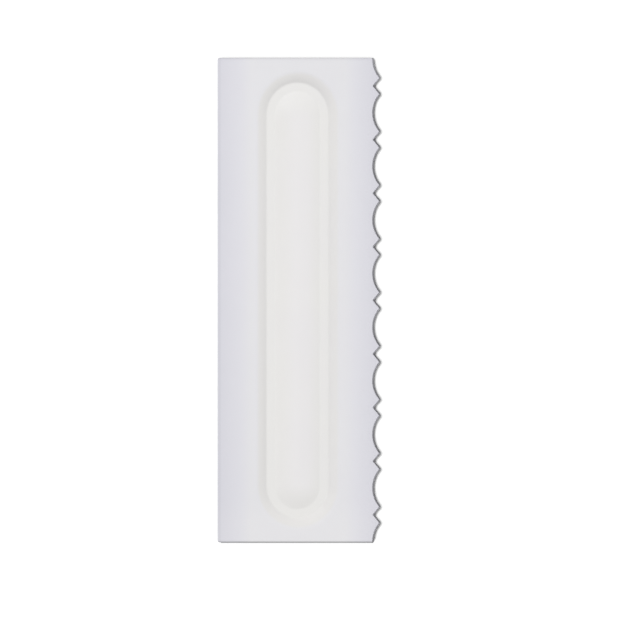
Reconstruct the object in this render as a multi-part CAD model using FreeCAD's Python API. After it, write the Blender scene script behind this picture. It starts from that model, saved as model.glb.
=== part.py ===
import FreeCAD, Part
import math
import os

# Cake scraper: one moulded plastic blade with a plain long edge, a long edge cut into
# scallops and V notches, and the same long round-ended grip raised on both faces.
# Millimetres. +X points to the toothed edge, +Y along the length, +Z out of the front.

# Blade: a thick land carries the grip, and a thin flat strip runs along each long edge
blade_length = 226.0
blade_width = 79.1
land_thickness = 3.4
edge_thickness = 3.0
land_margin = 1.0
strip_width = 6.0
plain_corner_radius = 1.0
toothed_corner_radius = 0.6
edge_bevel = 0.3

# Toothed edge: depths are from the line through the tips
tooth_pitch = 25.0
notch_width = 7.5
notch_depth = 3.25
scallop_depth = 3.35
tip_radius = 0.5

# Grip: a flat rim round a shallow finger dish, flowing out to the blade. Its offset is
# from the blade's middle towards the plain edge.
grip_offset = 0.1
grip_end_margin = 11.5
grip_width = 30.2
rim_width = 4.1
rim_height = 1.1
rim_rounding = 2.5
dish_depth = 1.0
foot_width = 6.0

# How far the cutting sections run past the blade, and the most that a wall may slope
overrun = 1.0
level_slope = 0.01

tip_x = blade_width / 2
plain_edge_x = -tip_x
grip_x = -grip_offset
half_length = blade_length / 2
half_land = land_thickness / 2
foot_radius = grip_width / 2 + foot_width
grip_end_y = half_length - grip_end_margin - grip_width / 2
crest_z = half_land + rim_height
dish_z = crest_z - dish_depth


def point(x, y, z):
    return FreeCAD.Vector(x, y, z)


def line(start, end):
    return Part.LineSegment(start, end).toShape()


def arc(start, middle, end):
    return Part.Arc(start, middle, end).toShape()


def arc_radius(run, rise):
    """Radius of an arc that starts level and rises by rise over run."""
    return (run ** 2 + rise ** 2) / (2 * rise)


def face(edges):
    return Part.Face(Part.Wire(Part.sortEdges(edges)[0]))


def prism(edges, direction):
    return face(edges).extrude(direction)


def scallop_x(offset):
    """Place of a scallop's curve, offset along the edge from the scallop's middle."""
    half_chord = (tooth_pitch - notch_width) / 2
    radius = arc_radius(half_chord, scallop_depth)
    return tip_x - scallop_depth + radius - math.sqrt(radius ** 2 - offset ** 2)


def scallop(y_start, y_end, y_middle_of_scallop):
    """One scallop's curve between two places along the toothed edge."""
    places = [y_start, (y_start + y_end) / 2, y_end]
    return arc(*[point(scallop_x(y - y_middle_of_scallop), y, 0) for y in places])


def outline():
    """The blade's outline, with sharp tips and corners."""
    notch_count = round(blade_length / tooth_pitch)
    notches = [(i - (notch_count - 1) / 2) * tooth_pitch for i in range(notch_count)]
    half_notch = notch_width / 2
    edges = []
    for y in notches:
        valley = point(tip_x - notch_depth, y, 0)
        edges.append(line(point(tip_x, y - half_notch, 0), valley))
        edges.append(line(valley, point(tip_x, y + half_notch, 0)))
    for y in notches[:-1]:
        edges.append(scallop(y + half_notch, y + tooth_pitch - half_notch, y + tooth_pitch / 2))
    last_middle = notches[-1] + tooth_pitch / 2
    edges.append(scallop(-half_length, notches[0] - half_notch, -last_middle))
    edges.append(scallop(notches[-1] + half_notch, half_length, last_middle))
    corner_x = scallop_x(half_length - last_middle)
    corners = [
        point(corner_x, half_length, 0),
        point(plain_edge_x, half_length, 0),
        point(plain_edge_x, -half_length, 0),
        point(corner_x, -half_length, 0),
    ]
    for start, end in zip(corners, corners[1:]):
        edges.append(line(start, end))
    return edges


def round_upright(body, radius, chosen):
    """The body with a radius on each upright edge whose place is chosen."""
    upright = [e for e in body.Edges if e.BoundBox.ZLength > land_thickness]
    return body.makeFillet(radius, [e for e in upright if chosen(e.CenterOfMass)])


def rounded_prism():
    """The outline through the blade's thickness, with its upright edges rounded."""
    depth = land_thickness + 2 * overrun
    body = prism(outline(), point(0, 0, depth))
    body.translate(point(0, 0, -depth / 2))
    near_end = half_length - tip_radius
    body = round_upright(body, tip_radius, lambda p: p.x > grip_x and abs(p.y) < near_end)
    body = round_upright(body, toothed_corner_radius, lambda p: p.x > grip_x and abs(p.y) > near_end)
    return round_upright(body, plain_corner_radius, lambda p: p.x < grip_x)


def thinning_curve(from_x, to_x, side):
    """One face's fall from the land to an edge strip, level where it meets each."""
    run = to_x - from_x
    drop = (land_thickness - edge_thickness) / 2
    radius = arc_radius(run / 2, drop / 2)
    quarter_fall = radius - math.sqrt(radius ** 2 - (run / 4) ** 2)
    falls = [0, quarter_fall, drop / 2, drop - quarter_fall, drop]
    return [point(from_x + i * run / 4, 0, side * (half_land - f)) for i, f in enumerate(falls)]


def thickness_bar():
    """The blade's cross-section, run along its whole length."""
    land = foot_radius + land_margin
    left, right = grip_x - land, grip_x + land
    left_strip, right_strip = plain_edge_x + strip_width, tip_x - strip_width
    left_end, right_end = plain_edge_x - overrun, tip_x + overrun
    half_edge = edge_thickness / 2
    edges = []
    for side in (1, -1):
        edges.append(line(point(left, 0, side * half_land), point(right, 0, side * half_land)))
        for land_x, strip_x, end_x in ((left, left_strip, left_end), (right, right_strip, right_end)):
            curve = thinning_curve(land_x, strip_x, side)
            edges.append(arc(*curve[:3]))
            edges.append(arc(*curve[2:]))
            edges.append(line(curve[-1], point(end_x, 0, side * half_edge)))
    for end_x in (left_end, right_end):
        edges.append(line(point(end_x, 0, half_edge), point(end_x, 0, -half_edge)))
    run = blade_length + 2 * overrun
    bar = prism(edges, point(0, run, 0))
    bar.translate(point(0, -run / 2, 0))
    return bar


def is_wall(surface):
    """Whether a face of the blade is part of its upright outline."""
    u0, u1, v0, v1 = surface.ParameterRange
    return abs(surface.normalAt((u0 + u1) / 2, (v0 + v1) / 2).z) < level_slope


def blade():
    """The flat blade, its whole outline broken by a small bevel on both faces."""
    body = rounded_prism().common(thickness_bar())
    walls = [surface for surface in body.Faces if is_wall(surface)]
    edges = [edge for wall in walls for edge in wall.Edges]
    # An upright edge has its middle halfway up, a border edge has it near a face.
    border = [edge for edge in edges if abs(edge.CenterOfMass.z) > edge_thickness / 4]
    return body.makeChamfer(edge_bevel, border)


def blend(run, rise):
    """An arc that leaves the level and meets a crest through the rim's rounding.

    Gives the arc's middle, the point where the rounding takes over, the rounding's
    middle, and the point where it reaches the crest, as (along, up).
    """
    radius = arc_radius(run, rise)
    both = radius + rim_rounding
    reach = math.sqrt(rise * (2 * both - rise))
    turn = math.asin(reach / both)
    half_sine, half_versine = math.sin(turn / 2), 1 - math.cos(turn / 2)
    arc_middle = (radius * half_sine, radius * half_versine)
    arc_end = (radius * math.sin(turn), radius * (1 - math.cos(turn)))
    rounding_middle = (reach - rim_rounding * half_sine, rise - rim_rounding * half_versine)
    return arc_middle, arc_end, rounding_middle, (reach, rise)


def grip_curve(side):
    """One face of the grip's half section, from its middle out to its foot."""
    dish = [point(0, 0, side * dish_z)]
    for along, up in blend(grip_width / 2 - rim_width, dish_depth):
        dish.append(point(along, 0, side * (dish_z + up)))
    foot = [point(foot_radius, 0, side * half_land)]
    for along, up in blend(foot_width, rim_height):
        foot.append(point(foot_radius - along, 0, side * (half_land + up)))
    return [
        arc(dish[0], dish[1], dish[2]),
        arc(dish[2], dish[3], dish[4]),
        line(dish[4], foot[4]),
        arc(foot[4], foot[3], foot[2]),
        arc(foot[2], foot[1], foot[0]),
    ]


def grip():
    """The raised grip through the whole thickness, out to where it meets the blade."""
    edges = grip_curve(1) + grip_curve(-1)
    edges.append(line(point(0, 0, dish_z), point(0, 0, -dish_z)))
    edges.append(line(point(foot_radius, 0, half_land), point(foot_radius, 0, -half_land)))
    section = face(edges)
    centre, upright = point(0, 0, 0), point(0, 0, 1)
    half_run = section.extrude(point(0, 2 * grip_end_y, 0))
    half_run.translate(point(0, -grip_end_y, 0))
    other_half = half_run.copy()
    other_half.rotate(centre, upright, 180)
    top_end = section.revolve(centre, upright, 180)
    top_end.translate(point(0, grip_end_y, 0))
    bottom_end = section.revolve(centre, upright, -180)
    bottom_end.translate(point(0, -grip_end_y, 0))
    body = half_run.fuse([other_half, top_end, bottom_end]).removeSplitter()
    body.translate(point(grip_x, 0, 0))
    return body


def grip_pocket():
    """The round-ended hole in the blade that the grip fills."""
    depth = land_thickness + 2 * overrun
    low = -depth / 2
    pocket = Part.makeBox(
        2 * foot_radius, 2 * grip_end_y, depth, point(grip_x - foot_radius, -grip_end_y, low)
    )
    ends = [
        Part.makeCylinder(foot_radius, depth, point(grip_x, y, low))
        for y in (-grip_end_y, grip_end_y)
    ]
    return pocket.fuse(ends).removeSplitter()


def scraper():
    """The whole scraper, its middle over the origin and its back rim on the ground."""
    body = blade().cut(grip_pocket()).fuse(grip()).removeSplitter()
    solid = body.Solids[0]
    box = solid.optimalBoundingBox(False, False)
    solid.translate(point(-(box.XMin + box.XMax) / 2, 0, crest_z))
    return solid


os.makedirs("parts", exist_ok=True)
shape = scraper()
box = shape.optimalBoundingBox(False, False)
print("valid", shape.isValid(), "solids", len(shape.Solids), "faces", len(shape.Faces))
print("size", round(box.XLength, 3), round(box.YLength, 3), round(box.ZLength, 3))
print("volume", round(shape.Volume, 1))
shape.exportStep("parts/scraper.step")
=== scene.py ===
import math

import bpy
from mathutils import Matrix, Vector
from mathutils.geometry import delaunay_2d_cdt


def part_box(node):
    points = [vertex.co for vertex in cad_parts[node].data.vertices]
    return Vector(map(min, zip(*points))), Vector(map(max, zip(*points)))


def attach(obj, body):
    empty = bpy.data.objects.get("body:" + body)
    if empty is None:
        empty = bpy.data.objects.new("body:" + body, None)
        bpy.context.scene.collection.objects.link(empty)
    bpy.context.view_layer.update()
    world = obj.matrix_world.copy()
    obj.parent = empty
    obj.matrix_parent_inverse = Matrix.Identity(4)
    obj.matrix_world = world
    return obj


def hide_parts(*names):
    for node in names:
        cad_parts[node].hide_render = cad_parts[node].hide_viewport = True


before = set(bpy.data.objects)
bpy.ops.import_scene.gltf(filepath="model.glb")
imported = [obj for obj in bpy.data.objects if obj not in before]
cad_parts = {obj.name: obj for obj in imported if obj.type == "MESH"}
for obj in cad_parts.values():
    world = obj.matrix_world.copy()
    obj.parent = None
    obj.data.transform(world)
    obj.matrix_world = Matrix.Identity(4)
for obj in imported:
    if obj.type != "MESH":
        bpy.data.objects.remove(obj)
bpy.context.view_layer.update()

MM = 0.001

# The blade, with the same sizes as the solid that it replaces
BLADE_WIDTH = 79.1 * MM
LAND_HALF_THICKNESS = 1.7 * MM
EDGE_HALF_THICKNESS = 1.5 * MM
LAND_MARGIN = 1.0 * MM
STRIP_WIDTH = 6.0 * MM
PLAIN_CORNER_RADIUS = 1.0 * MM
TOOTHED_CORNER_RADIUS = 0.6 * MM
BORDER_RADIUS = 0.3 * MM

# The toothed edge
TOOTH_PITCH = 25.0 * MM
NOTCH_WIDTH = 7.5 * MM
NOTCH_DEPTH = 3.25 * MM
SCALLOP_DEPTH = 3.35 * MM
TIP_RADIUS = 0.5 * MM

# The grip
GRIP_OFFSET = 0.1 * MM
GRIP_END_MARGIN = 11.5 * MM
GRIP_WIDTH = 30.2 * MM
RIM_WIDTH = 4.1 * MM
RIM_HEIGHT = 1.1 * MM
RIM_ROUNDING = 2.5 * MM
DISH_DEPTH = 1.0 * MM
FOOT_WIDTH = 6.0 * MM

# How finely the curves are divided
VALLEY_STEPS = 4
FLANK_STEPS = 3
TIP_STEPS = 6
SCALLOP_STEPS = 9
CORNER_STEPS = 6
BORDER_STEPS = 4
STRAIGHT_STEP = 2.5 * MM
DISH_STEPS = 11
FOOT_STEPS = 8
ROUNDING_STEPS = 5
GRIP_SIDE_STEPS = 36
GRIP_END_STEPS = 48
GRID_COLUMN = 2.4 * MM
GRID_ROW = 3.6 * MM
GRID_MARGIN = 1.0 * MM

# What the triangulation keeps, and how near two of its points may come
INSIDE_THE_LOOPS = 1
SAME_PLACE = 1e-6

# Slack that keeps the outline's point on the blade's middle line
MIDDLE_SLACK = 0.001 * MM

# Where the solid puts all this
low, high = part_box("scraper")
middle_z = (low.z + high.z) / 2
half_length = high.y
plain_x = low.x
tip_x = plain_x + BLADE_WIDTH
grip_x = plain_x + BLADE_WIDTH / 2 - GRIP_OFFSET
notch_count = round(2 * half_length / TOOTH_PITCH)
foot_radius = GRIP_WIDTH / 2 + FOOT_WIDTH
grip_end_y = half_length - GRIP_END_MARGIN - GRIP_WIDTH / 2
dish_height = LAND_HALF_THICKNESS + RIM_HEIGHT - DISH_DEPTH


def arc_radius(run, rise):
    """Radius of an arc that starts level and rises by rise over run."""
    return (run**2 + rise**2) / (2 * rise)


def heading(angle):
    return Vector((math.cos(angle), math.sin(angle)))


def angle_of(direction):
    return math.atan2(direction.y, direction.x)


def turned(start, end, steps):
    """Evenly spaced values from start to end, both included."""
    return [start + (end - start) * i / steps for i in range(steps + 1)]


def arc(centre, radius, start, end, steps, side):
    """Points of the outline on an arc, each with its outward normal.

    side is 1 where the plastic is inside the arc's circle and -1 where it is outside.
    """
    rays = [heading(angle) for angle in turned(start, end, steps)]
    return [(centre + radius * ray, side * ray) for ray in rays]


def run(start, end, normal, steps):
    """Points of the outline between two places, neither included."""
    places = [start.lerp(end, i / steps) for i in range(1, steps)]
    return [(place, normal) for place in places]


def scallop_radius():
    return arc_radius((TOOTH_PITCH - NOTCH_WIDTH) / 2, SCALLOP_DEPTH)


def half_tooth():
    """The outline from a notch's valley to the middle of the scallop above it."""
    valley = Vector((tip_x - NOTCH_DEPTH, 0))
    flank = Vector((NOTCH_DEPTH, NOTCH_WIDTH / 2)).normalized()
    flank_normal = Vector((flank.y, -flank.x))
    valley_centre = valley + Vector((TIP_RADIUS / flank.y, 0))
    flank_angle = angle_of(flank_normal)

    radius = scallop_radius()
    scallop_centre = Vector((tip_x - SCALLOP_DEPTH + radius, TOOTH_PITCH / 2))

    # The tip's rounding touches the flank and the scallop from inside the plastic.
    from_scallop = valley - TIP_RADIUS * flank_normal - scallop_centre
    along = from_scallop.dot(flank)
    reach = (radius + TIP_RADIUS) ** 2 - from_scallop.length_squared
    tip_centre = scallop_centre + from_scallop - (along + math.sqrt(along**2 + reach)) * flank
    scallop_angle = angle_of(scallop_centre - tip_centre)

    bottom = arc(valley_centre, TIP_RADIUS, math.pi, math.pi + flank_angle, VALLEY_STEPS, -1)
    tip = arc(tip_centre, TIP_RADIUS, flank_angle, scallop_angle, TIP_STEPS, 1)
    side = run(bottom[-1][0], tip[0][0], flank_normal, FLANK_STEPS)
    curve = arc(scallop_centre, radius, math.pi + scallop_angle, math.pi, SCALLOP_STEPS, -1)
    return bottom + side + tip + curve[1:]


def mirrored(points):
    """The same points from the other side of y = 0, in the opposite order."""
    flipped = [(Vector((p.x, -p.y)), Vector((n.x, -n.y))) for p, n in points]
    return flipped[::-1]


def lifted(points, y):
    return [(p + Vector((0, y)), n) for p, n in points]


def toothed_half(corner):
    """The toothed edge from the middle of the blade up to its end corner."""
    half = half_tooth()
    notches = [(i - (notch_count - 1) / 2) * TOOTH_PITCH for i in range(notch_count)]
    points = []
    for y in notches:
        points += lifted(mirrored(half)[1:], y) + lifted(half[1:], y)
    end_y = corner[0][0].y
    return [(p, n) for p, n in points if -MIDDLE_SLACK < p.y < end_y]


def end_corner():
    """The rounding between the last scallop and the blade's end."""
    radius = scallop_radius()
    scallop_centre = Vector((tip_x - SCALLOP_DEPTH + radius, notch_count / 2 * TOOTH_PITCH))
    y = half_length - TOOTHED_CORNER_RADIUS
    across = math.sqrt((radius + TOOTHED_CORNER_RADIUS) ** 2 - (y - scallop_centre.y) ** 2)
    centre = Vector((scallop_centre.x - across, y))
    start = angle_of(scallop_centre - centre)
    return arc(centre, TOOTHED_CORNER_RADIUS, start, math.pi / 2, CORNER_STEPS, 1)


def outline():
    """The blade's outline, anticlockwise, as points with their outward normals."""
    corner = end_corner()
    toothed = toothed_half(corner)
    plain_centre = Vector((plain_x + PLAIN_CORNER_RADIUS, half_length - PLAIN_CORNER_RADIUS))
    plain_corner = arc(plain_centre, PLAIN_CORNER_RADIUS, math.pi / 2, math.pi, CORNER_STEPS, 1)
    end_start, end_stop = corner[-1][0], plain_corner[0][0]
    end_steps = round((end_start - end_stop).length / STRAIGHT_STEP)
    end = run(end_start, end_stop, Vector((0, 1)), end_steps)
    side_start = plain_corner[-1][0]
    side_stop = Vector((plain_x, 0))
    side_steps = round((side_start - side_stop).length / STRAIGHT_STEP)
    side = run(side_start, side_stop, Vector((-1, 0)), side_steps)
    upper = toothed + corner + end + plain_corner + side + [(side_stop, Vector((-1, 0)))]
    # The first point and the last lie on y = 0, so the lower half leaves them out.
    return upper + mirrored(upper[1:-1])


def thinning(x):
    """Half the blade's thickness at x and how fast it changes across the blade."""
    side = 1 if x > grip_x else -1
    land = grip_x + side * (foot_radius + LAND_MARGIN)
    strip = tip_x - STRIP_WIDTH if side > 0 else plain_x + STRIP_WIDTH
    length = abs(strip - land)
    past = min(max(side * (x - land), 0), length)
    drop = LAND_HALF_THICKNESS - EDGE_HALF_THICKNESS
    radius = arc_radius(length / 2, drop / 2)
    near = min(past, length - past)
    fall = radius - math.sqrt(radius**2 - near**2)
    if past > length / 2:
        fall = drop - fall
    return LAND_HALF_THICKNESS - fall, -side * near / math.sqrt(radius**2 - near**2)


def blade_point(place):
    """Height and normal of the blade's front face at a place."""
    half, slope = thinning(place.x)
    return Vector((place.x, place.y, half)), Vector((-slope, 0, 1)).normalized()


def border_rings(points):
    """Rings from the blade's wall over its rounded border onto the face."""
    rings = []
    for angle in turned(0, math.pi / 2, BORDER_STEPS):
        ring = []
        for place, out in points:
            inset = place - out * BORDER_RADIUS * (1 - math.cos(angle))
            position, up = blade_point(inset)
            position.z -= BORDER_RADIUS * (1 - math.sin(angle))
            wall = Vector((out.x, out.y, 0))
            ring.append((position, (wall * math.cos(angle) + up * math.sin(angle)).normalized()))
        rings.append(ring)
    return rings


def blend(across, rise, steps):
    """Rows along an arc that leaves the level and meets a crest through a rounding.

    A row is how far along, how far up, and how steep.
    """
    radius = arc_radius(across, rise)
    both = radius + RIM_ROUNDING
    reach = math.sqrt(rise * (2 * both - rise))
    turn = math.asin(reach / both)
    rows = [(radius * math.sin(a), radius * (1 - math.cos(a)), a) for a in turned(0, turn, steps)]
    for a in turned(turn, 0, ROUNDING_STEPS)[1:]:
        up = rise - RIM_ROUNDING * (1 - math.cos(a))
        rows.append((reach - RIM_ROUNDING * math.sin(a), up, a))
    return rows


def grip_rows():
    """The grip's section from its foot in to its middle line.

    A row is the distance from the middle line, the height, and the outward lean.
    """
    rows = []
    for along, up, steepness in blend(FOOT_WIDTH, RIM_HEIGHT, FOOT_STEPS):
        rows.append((foot_radius - along, LAND_HALF_THICKNESS + up, steepness))
    dish = blend(GRIP_WIDTH / 2 - RIM_WIDTH, DISH_DEPTH, DISH_STEPS)
    rows.append(((rows[-1][0] + dish[-1][0]) / 2, rows[-1][1], 0))
    for along, up, steepness in reversed(dish):
        rows.append((along, dish_height + up, -steepness))
    return rows


def grip_rays():
    """Places along the grip's middle line with a direction each, once round the grip.

    A ray is the place's number on the line, its y, and the direction.
    """
    last = GRIP_SIDE_STEPS
    line = turned(-grip_end_y, grip_end_y, last)
    rays = [(i, line[i], 0) for i in range(last)]
    rays += [(last, line[last], math.pi * i / GRIP_END_STEPS) for i in range(GRIP_END_STEPS)]
    rays += [(last - i, line[last - i], math.pi) for i in range(last)]
    rays += [(0, line[0], math.pi * (1 + i / GRIP_END_STEPS)) for i in range(GRIP_END_STEPS)]
    return rays, line


def grip_rings(rays):
    """Rings from the grip's foot in towards its middle line, with their normals."""
    rings = []
    for distance, height, lean in grip_rows()[:-1]:
        ring = []
        for _, y, angle in rays:
            out = heading(angle)
            position = Vector((grip_x + distance * out.x, y + distance * out.y, height))
            flat = math.sin(lean)
            ring.append((position, Vector((flat * out.x, flat * out.y, math.cos(lean)))))
        rings.append(ring)
    return rings


def from_grip_line(place):
    """Distance from the grip's middle line."""
    nearest = Vector((grip_x, min(max(place.y, -grip_end_y), grip_end_y)))
    return (place - nearest).length


def face_grid():
    """Places spread over the flat face between the border and the grip's foot."""
    width = tip_x - NOTCH_DEPTH - plain_x - 2 * GRID_MARGIN
    columns = turned(0, width, round(width / GRID_COLUMN))
    reach = half_length - GRID_MARGIN - BORDER_RADIUS
    rows = turned(-reach, reach, round(2 * reach / GRID_ROW))
    places = []
    for number, across in enumerate(columns):
        # Neighbouring columns are half a row apart, which keeps the triangles even.
        shift = GRID_ROW / 4 * (-1) ** number
        for y in rows:
            place = Vector((plain_x + GRID_MARGIN + across, y * (1 - GRID_ROW / reach) + shift))
            if from_grip_line(place) > foot_radius + GRID_MARGIN:
                places.append(place)
    return places


def ring_faces(outer, inner):
    """Four-sided faces between two closed rings of vertex numbers."""
    count = len(outer)
    pairs = [(i, (i + 1) % count) for i in range(count)]
    return [(outer[i], outer[j], inner[j], inner[i]) for i, j in pairs]


def face_triangles(border, grid, foot, vertices):
    """Triangles between the border's inner ring and the grip's foot, through the grid."""
    used = border + grid + foot
    flat = [vertices[i][0].xy / MM for i in used]
    edges = []
    start = 0
    for loop in (border, foot):
        count = len(loop)
        edges += [(start + i, start + (i + 1) % count) for i in range(count)]
        start = len(border) + len(grid)
    _, _, faces, origins, _, _ = delaunay_2d_cdt(flat, edges, [], INSIDE_THE_LOOPS, SAME_PLACE)
    triangles = []
    for corners in faces:
        numbers = [used[origins[c][0]] for c in corners]
        middle = sum((vertices[n][0].xy for n in numbers), Vector((0, 0))) / len(numbers)
        if from_grip_line(middle) > foot_radius:
            triangles.append(tuple(numbers))
    return triangles


def front_face():
    """Vertices and faces of the front, its wall ring first, heights from mid-thickness."""
    vertices = []

    def added(points):
        first = len(vertices)
        vertices.extend(points)
        return list(range(first, len(vertices)))

    border = [added(ring) for ring in border_rings(outline())]
    grid = added([blade_point(place) for place in face_grid()])
    rays, line = grip_rays()
    rings = [added(ring) for ring in grip_rings(rays)]
    up = Vector((0, 0, 1))
    spine = added([(Vector((grip_x, y, dish_height)), up) for y in line])

    faces = face_triangles(border[-1], grid, rings[0], vertices)
    for chain in (border, rings):
        for outer, inner in zip(chain, chain[1:]):
            faces += ring_faces(outer, inner)
    for a, b, c, d in ring_faces(rings[-1], [spine[number] for number, _, _ in rays]):
        faces.append((a, b, c) if c == d else (a, b, c, d))
    return vertices, faces, border[0]


def scraper_mesh():
    """The whole scraper: the front, the same again for the back, and the wall between."""
    vertices, faces, wall = front_face()
    count = len(vertices)
    positions = []
    normals = []
    for side in (1, -1):
        for position, normal in vertices:
            positions.append((position.x, position.y, middle_z + side * position.z))
            normals.append((normal.x, normal.y, side * normal.z))
    back = [tuple(count + n for n in reversed(face)) for face in faces]
    walls = ring_faces([count + n for n in wall], wall)
    mesh = bpy.data.meshes.new("scraper_surface")
    mesh.from_pydata(positions, [], faces + back + walls)
    mesh.validate()
    mesh.shade_smooth()
    mesh.normals_split_custom_set_from_vertices(normals)
    return mesh


# Which sockets of a Mix node are its two colours and the mixed one
FIRST_COLOUR = 6
SECOND_COLOUR = 7
MIXED_COLOUR = 2


class Nodes:
    """Short ways to add and join a material's nodes."""

    def __init__(self, material):
        material.use_nodes = True
        self.tree = material.node_tree
        self.tree.nodes.clear()

    def add(self, kind, inputs=None, **settings):
        node = self.tree.nodes.new(kind)
        for name, value in settings.items():
            setattr(node, name, value)
        for name, value in (inputs or {}).items():
            if isinstance(value, bpy.types.NodeSocket):
                self.tree.links.new(value, node.inputs[name])
            else:
                node.inputs[name].default_value = value
        return node

    def math(self, operation, first, second=0.0, clamp=False):
        node = self.add("ShaderNodeMath", {0: first, 1: second}, operation=operation)
        node.use_clamp = clamp
        return node.outputs[0]

    def spread(self, value, start, end, low=0.0, high=1.0, smooth=False):
        """value, taken from the range start to end into the range low to high."""
        kind = "SMOOTHSTEP" if smooth else "LINEAR"
        inputs = {"Value": value, "From Min": start, "From Max": end, "To Min": low, "To Max": high}
        return self.add("ShaderNodeMapRange", inputs, interpolation_type=kind).outputs[0]

    def band(self, value, start, full, leaving, gone):
        """1 where value is from full to leaving, and 0 before start and after gone."""
        rising = self.spread(value, start, full)
        falling = self.spread(value, leaving, gone, 1.0, 0.0)
        return self.math("MINIMUM", rising, falling)

    def mix(self, factor, first, second, blend="MIX"):
        """Colour between first and second, or first times second."""
        inputs = {"Factor": factor, FIRST_COLOUR: first, SECOND_COLOUR: second}
        mixed = self.add("ShaderNodeMix", inputs, data_type="RGBA", blend_type=blend)
        return mixed.outputs[MIXED_COLOUR]

    def noise(self, place, scale, detail):
        inputs = {"Vector": place, "Scale": scale, "Detail": detail}
        return self.add("ShaderNodeTexNoise", inputs).outputs["Fac"]

    def bump(self, height, strength, distance, below=None):
        """The surface's normal with a bump on it, over another bump where there is one."""
        inputs = {"Height": height, "Strength": strength, "Distance": distance}
        if below:
            inputs["Normal"] = below
        return self.add("ShaderNodeBump", inputs).outputs[0]


# Linear colours of the plastic, with painted light and shade in them: the grip paler and warmer,
# its foot a little darker, the blade darker and cooler towards its long edges
DISH_SHADE_COLOUR = (0.7515, 0.7415, 0.728, 1)
DISH_COLOUR = (0.771, 0.7585, 0.759, 1)
RIM_COLOUR = (0.7635, 0.7555, 0.7415, 1)
UPPER_RIM_LIT_COLOUR = (0.770, 0.761, 0.747, 1)
FOOT_COLOUR = (0.719, 0.709, 0.700, 1)
BLADE_COLOUR = (0.727, 0.723, 0.744, 1)
OUTER_COLOUR = (0.698, 0.694, 0.735, 1)
EDGE_SHADE_COLOUR = (0.639, 0.636, 0.687, 1)
CLOUD_COLOUR = (0.70, 0.68, 0.74, 1)

# Where one colour gives way to the next, from the grip's middle line or along the blade
DISH_LEFT_REACH = (-7.0 * MM, -1.0 * MM)
DISH_RIGHT_REACH = (5.0 * MM, 9.0 * MM)
DISH_COLOUR_REACH = (9.0 * MM, 11.5 * MM)
GRIP_COLOUR_REACH = (14.0 * MM, 16.0 * MM)
FOOT_COLOUR_REACH = (18.5 * MM, 20.5 * MM)
BLADE_COLOUR_REACH = (23.0 * MM, 28.0 * MM)
OUTER_COLOUR_REACH = (28.0 * MM, 38.0 * MM)
LOWER_DISH_REACH = (-94.0 * MM, -86.0 * MM)
UPPER_DISH_REACH = (83.0 * MM, 91.0 * MM)
UPPER_RIM_REACH = (93.0 * MM, 99.0 * MM)

# Painted light: the lower end is painted a little paler
LOWER_END_REACH = (-103.0 * MM, -93.0 * MM)
LOWER_END_PAINTED_LIGHT = (1.021, 1.019, 1.012, 1)

# Painted shade: a thin dark line inside each straight edge: where it starts, is full, leaves and is
# gone
PLAIN_EDGE_LINE = (0.5 * MM, 0.8 * MM, 1.1 * MM, 2.0 * MM)
PLAIN_EDGE_SHADE = (0.93, 0.93, 0.935, 1)
UPPER_LINE = (0.35 * MM, 0.6 * MM, 0.9 * MM, 1.4 * MM)
UPPER_EDGE_SHADE = (0.94, 0.94, 0.945, 1)
LOWER_LINE = (0.0 * MM, 0.1 * MM, 0.6 * MM, 0.75 * MM)
LOWER_EDGE_SHADE = (0.70, 0.70, 0.70, 1)

# The scale and the detail of each noise in the plastic
CLOUD_NOISE = (28.0, 3.0)
RIPPLE_NOISE = (45.0, 1.0)
GRAIN_NOISE = (1800.0, 3.0)
GLOSS_NOISE = (160.0, 2.0)

# What the noises do to the colour, the surface and the roughness
CLOUD_RANGE = (0.4, 0.7)
CLOUD_SHARE = 0.12
RIPPLE_STRENGTH = 0.04
RIPPLE_DEPTH = 1.0 * MM
GRAIN_STRENGTH = 0.06
GRAIN_DEPTH = 0.1 * MM
GLOSS_RANGE = (0.3, 0.7)
ROUGHNESS = (0.52, 0.60)
PLASTIC_IOR = 1.46
PLASTIC_SPECULAR = 0.3


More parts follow.
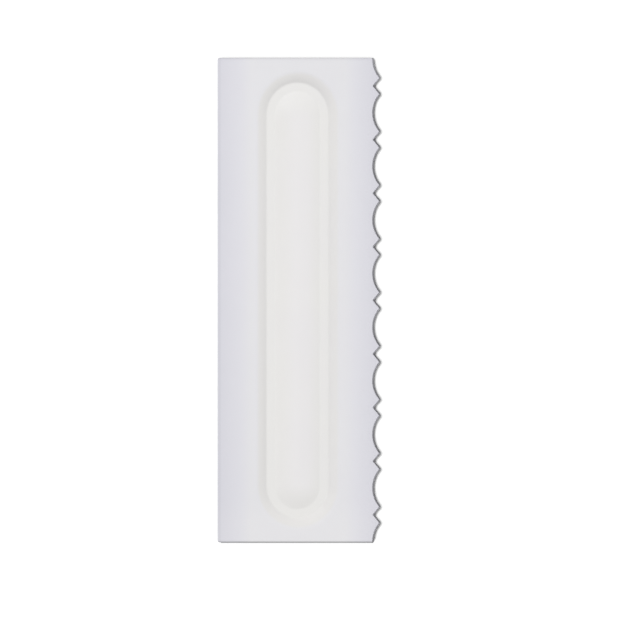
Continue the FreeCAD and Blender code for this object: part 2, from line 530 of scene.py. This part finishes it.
def plastic():
    """Satin white moulded plastic, with painted light and shade in its colour: paler and warmer on
    the grip, darker and cooler towards the blade's long edges.
    """
    material = bpy.data.materials.new("white_plastic")
    nodes = Nodes(material)
    place = nodes.add("ShaderNodeTexCoord").outputs["Object"]
    x, y, _ = nodes.add("ShaderNodeSeparateXYZ", {"Vector": place}).outputs
    from_middle = nodes.math("SUBTRACT", x, grip_x)
    across = nodes.math("ABSOLUTE", from_middle)
    along = nodes.math("ABSOLUTE", y)
    past_end = nodes.math("MAXIMUM", nodes.math("SUBTRACT", along, grip_end_y), 0.0)
    across_squared = nodes.math("POWER", across, 2.0)
    past_squared = nodes.math("POWER", past_end, 2.0)
    reach = nodes.math("SQRT", nodes.math("ADD", across_squared, past_squared))

    # Painted shade: the blade darkens and cools towards both long edges
    blade = nodes.mix(nodes.spread(across, *BLADE_COLOUR_REACH), BLADE_COLOUR, OUTER_COLOUR)
    blade = nodes.mix(nodes.spread(across, *OUTER_COLOUR_REACH), blade, EDGE_SHADE_COLOUR)
    # Painted shade in the dish: darker on its left side and at its lower end; painted light: the
    # rim paler at its upper end
    dish = nodes.mix(nodes.spread(from_middle, *DISH_LEFT_REACH), DISH_SHADE_COLOUR, DISH_COLOUR)
    dish = nodes.mix(nodes.spread(from_middle, *DISH_RIGHT_REACH), dish, RIM_COLOUR)
    dish = nodes.mix(nodes.spread(y, *LOWER_DISH_REACH), DISH_SHADE_COLOUR, dish)
    dish = nodes.mix(nodes.spread(y, *UPPER_DISH_REACH), dish, RIM_COLOUR)
    rim = nodes.mix(nodes.spread(y, *UPPER_RIM_REACH), RIM_COLOUR, UPPER_RIM_LIT_COLOUR)
    grip = nodes.mix(nodes.spread(reach, *DISH_COLOUR_REACH), dish, rim)
    # Painted light and shade: the grip paler than the blade, its foot a little darker
    outside = nodes.mix(nodes.spread(reach, *FOOT_COLOUR_REACH, smooth=True), FOOT_COLOUR, blade)
    colour = nodes.mix(nodes.spread(reach, *GRIP_COLOUR_REACH, smooth=True), grip, outside)
    # Painted light: the lower end paler
    lower_end_light = nodes.spread(y, *LOWER_END_REACH, 1.0, 0.0)
    colour = nodes.mix(lower_end_light, colour, LOWER_END_PAINTED_LIGHT, "MULTIPLY")
    # Painted shade lines along the plain edge and the upper and lower ends
    for distance, line, tint in (
        (nodes.math("SUBTRACT", x, low.x), PLAIN_EDGE_LINE, PLAIN_EDGE_SHADE),
        (nodes.math("SUBTRACT", high.y, y), UPPER_LINE, UPPER_EDGE_SHADE),
        (nodes.math("SUBTRACT", y, low.y), LOWER_LINE, LOWER_EDGE_SHADE),
    ):
        colour = nodes.mix(nodes.band(distance, *line), colour, tint, "MULTIPLY")
    cloud = nodes.noise(place, *CLOUD_NOISE)
    cloudiness = nodes.spread(cloud, *CLOUD_RANGE, 0.0, CLOUD_SHARE)
    colour = nodes.mix(cloudiness, colour, CLOUD_COLOUR)

    ripple = nodes.bump(nodes.noise(place, *RIPPLE_NOISE), RIPPLE_STRENGTH, RIPPLE_DEPTH)
    grain = nodes.bump(nodes.noise(place, *GRAIN_NOISE), GRAIN_STRENGTH, GRAIN_DEPTH, ripple)
    gloss = nodes.noise(place, *GLOSS_NOISE)
    shader = nodes.add(
        "ShaderNodeBsdfPrincipled",
        {
            "Base Color": colour,
            "Roughness": nodes.spread(gloss, *GLOSS_RANGE, *ROUGHNESS),
            "Normal": grain,
            "IOR": PLASTIC_IOR,
            "Specular IOR Level": PLASTIC_SPECULAR,
        },
    )
    nodes.add("ShaderNodeOutputMaterial", {"Surface": shader.outputs[0]})
    return material


def shown(name, data):
    """A new object in the scene, made of the given mesh, lamp or camera."""
    item = bpy.data.objects.new(name, data)
    bpy.context.scene.collection.objects.link(item)
    return item


def build_scraper():
    mesh = scraper_mesh()
    mesh.materials.append(plastic())
    piece = shown("scraper_body", mesh)
    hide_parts("scraper")
    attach(piece, "root")


# The floor, with its glow to the camera and the greys that it and the card on it really have
FLOOR_HALF = 3.0
WHITE = (1, 1, 1, 1)
FLOOR_GLOW = 0.9
FLOOR_LEVEL = 0.2
CARD_LEVEL = 0.6
CARD_FADE = 15.0 * MM

# The contact shadow: how open the air is where it is full and where it ends
SHADOW_RANGE = (0.70, 0.91)
SHADOW_REACH = 1.9 * MM
SHADOW_OPEN_SIDE = (0.0, 0.7, 0.7)
TIP_SHADOW = 0.05

# Along the lower end the shadow ends in a thin line, as long as the end is straight
LINE_NEAR = 0.2 * MM
LINE_FAR = 0.45 * MM
LINE_INSET = 0.6 * MM
LINE_GLOW = 0.1
LINE_SHADOW_REACH = 1.3 * MM
LINE_UNDER = (4.0 * MM, 8.0 * MM)


def seen_directly(nodes):
    """1 for rays whose background should look white, and 0 for the light's bounces."""
    path = nodes.add("ShaderNodeLightPath").outputs
    seen = nodes.math("MAXIMUM", path["Is Camera Ray"], path["Is Glossy Ray"])
    return nodes.math("MAXIMUM", seen, path["Is Transmission Ray"])


def shadow_glow(nodes, x, y):
    """The floor's glow, which falls close to the object, most on its closed side."""
    toward = nodes.add("ShaderNodeCombineXYZ", dict(zip("XYZ", SHADOW_OPEN_SIDE))).outputs[0]
    reach = nodes.spread(y, low.y, low.y + SHADOW_REACH, LINE_SHADOW_REACH, SHADOW_REACH)
    contact = nodes.add("ShaderNodeAmbientOcclusion", {"Distance": reach, "Normal": toward})
    near_tips = nodes.spread(x, tip_x - SHADOW_REACH, tip_x, 0.0, TIP_SHADOW)
    open_share = nodes.math("SUBTRACT", contact.outputs["AO"], near_tips)
    return nodes.spread(open_share, *SHADOW_RANGE, 0.0, FLOOR_GLOW)


def line_glow(nodes, x, y):
    """The floor's glow, which drops in the line along the lower end and under the blade."""
    corner_x = end_corner()[-1][0].x
    middle = (low.x + corner_x) / 2
    half = (corner_x - low.x) / 2
    from_middle = nodes.math("ABSOLUTE", nodes.math("SUBTRACT", x, middle))
    inside = nodes.spread(from_middle, half - LINE_INSET, half, 1.0, 0.0)
    places = (low.y - LINE_FAR, low.y - LINE_NEAR, low.y + LINE_UNDER[0], low.y + LINE_UNDER[1])
    on_line = nodes.math("MINIMUM", inside, nodes.band(y, *places))
    return nodes.spread(on_line, 0.0, 1.0, FLOOR_GLOW, LINE_GLOW)


def floor_level(nodes, x, y, seen):
    """The floor's own grey. For the light's bounces a paler card lies on two sides."""
    beside = nodes.spread(x, low.x, low.x + CARD_FADE, 1.0, 0.0)
    beyond = nodes.spread(y, high.y - CARD_FADE, high.y)
    card = nodes.math("SUBTRACT", nodes.math("MAXIMUM", beside, beyond), seen, clamp=True)
    return nodes.spread(card, 0.0, 1.0, FLOOR_LEVEL, CARD_LEVEL)


def build_floor():
    """A floor that the camera sees as white, but whose own colour is a quiet grey."""
    material = bpy.data.materials.new("pale_floor")
    nodes = Nodes(material)
    place = nodes.add("ShaderNodeTexCoord").outputs["Object"]
    x, y, _ = nodes.add("ShaderNodeSeparateXYZ", {"Vector": place}).outputs
    seen = seen_directly(nodes)
    open_air = nodes.math("MINIMUM", shadow_glow(nodes, x, y), line_glow(nodes, x, y))
    strength = nodes.math("MULTIPLY", seen, open_air)
    glow = nodes.add("ShaderNodeEmission", {"Color": WHITE, "Strength": strength})
    matt = nodes.add("ShaderNodeBsdfDiffuse", {"Color": floor_level(nodes, x, y, seen)})
    both = nodes.add("ShaderNodeAddShader", {0: glow.outputs[0], 1: matt.outputs[0]})
    nodes.add("ShaderNodeOutputMaterial", {"Surface": both.outputs[0]})
    corners = [(-1, -1), (1, -1), (1, 1), (-1, 1)]
    mesh = bpy.data.meshes.new("floor")
    places = [(side * FLOOR_HALF, end * FLOOR_HALF, 0) for side, end in corners]
    mesh.from_pydata(places, [], [(0, 1, 2, 3)])
    mesh.materials.append(material)
    shown("floor", mesh)


# The world's light on the object, and how the world looks to the camera
WORLD_LIGHT = 0.04
WORLD_SEEN = 1.0


def build_world():
    world = bpy.data.worlds.new("studio")
    bpy.context.scene.world = world
    nodes = Nodes(world)
    dim = nodes.add("ShaderNodeBackground", {"Color": WHITE, "Strength": WORLD_LIGHT})
    white = nodes.add("ShaderNodeBackground", {"Color": WHITE, "Strength": WORLD_SEEN})
    mixed = nodes.add(
        "ShaderNodeMixShader", {0: seen_directly(nodes), 1: dim.outputs[0], 2: white.outputs[0]}
    )
    nodes.add("ShaderNodeOutputWorld", {"Surface": mixed.outputs[0]})


# A wide soft lamp overhead, and small near ones that lift two corners of the blade a little
SUN_DIRECTION = (0.08, -0.32, 1.0)
SUN_ENERGY = 2.965
SUN_ANGLE = math.radians(45)
FILL_SIZE = 0.2
FILLS = [
    ("fill_upper_left", (-0.15, 0.15, 0.3), 0.11),
    ("fill_lower_right", (0.15, -0.15, 0.3), 0.045),
]


def aim(lamp, direction):
    """Turn a lamp so that its light comes from a direction."""
    lamp.rotation_mode = "QUATERNION"
    lamp.rotation_quaternion = direction.to_track_quat("Z", "Y")


def build_light():
    sun = bpy.data.lights.new("overhead_softbox", "SUN")
    sun.energy = SUN_ENERGY
    sun.angle = SUN_ANGLE
    aim(shown("overhead_softbox", sun), Vector(SUN_DIRECTION).normalized())
    for name, place, power in FILLS:
        fill = bpy.data.lights.new(name, "AREA")
        fill.shape = "DISK"
        fill.size = FILL_SIZE
        fill.energy = power
        lamp = shown(name, fill)
        lamp.location = place
        aim(lamp, Vector(place))


# The camera leans towards the toothed edge, so that its wall shows
CAMERA_LEAN = math.radians(17.5)
CAMERA_DISTANCE = 1.5
VIEW_WIDTH = 0.2985
VIEW_RIGHT = 9.75 * MM
VIEW_DOWN = 9.26 * MM


def build_camera():
    lean = Matrix.Rotation(CAMERA_LEAN, 4, "Y")
    centre = Vector(((low.x + high.x) / 2, (low.y + high.y) / 2, middle_z))
    offset = lean @ Vector((VIEW_RIGHT, -VIEW_DOWN, CAMERA_DISTANCE))
    data = bpy.data.cameras.new("camera")
    data.type = "ORTHO"
    data.ortho_scale = VIEW_WIDTH
    camera = shown("camera", data)
    camera.matrix_world = Matrix.Translation(centre + offset) @ lean
    bpy.context.scene.camera = camera


bpy.context.scene.view_settings.view_transform = "Standard"
build_scraper()
build_floor()
build_world()
build_light()
build_camera()
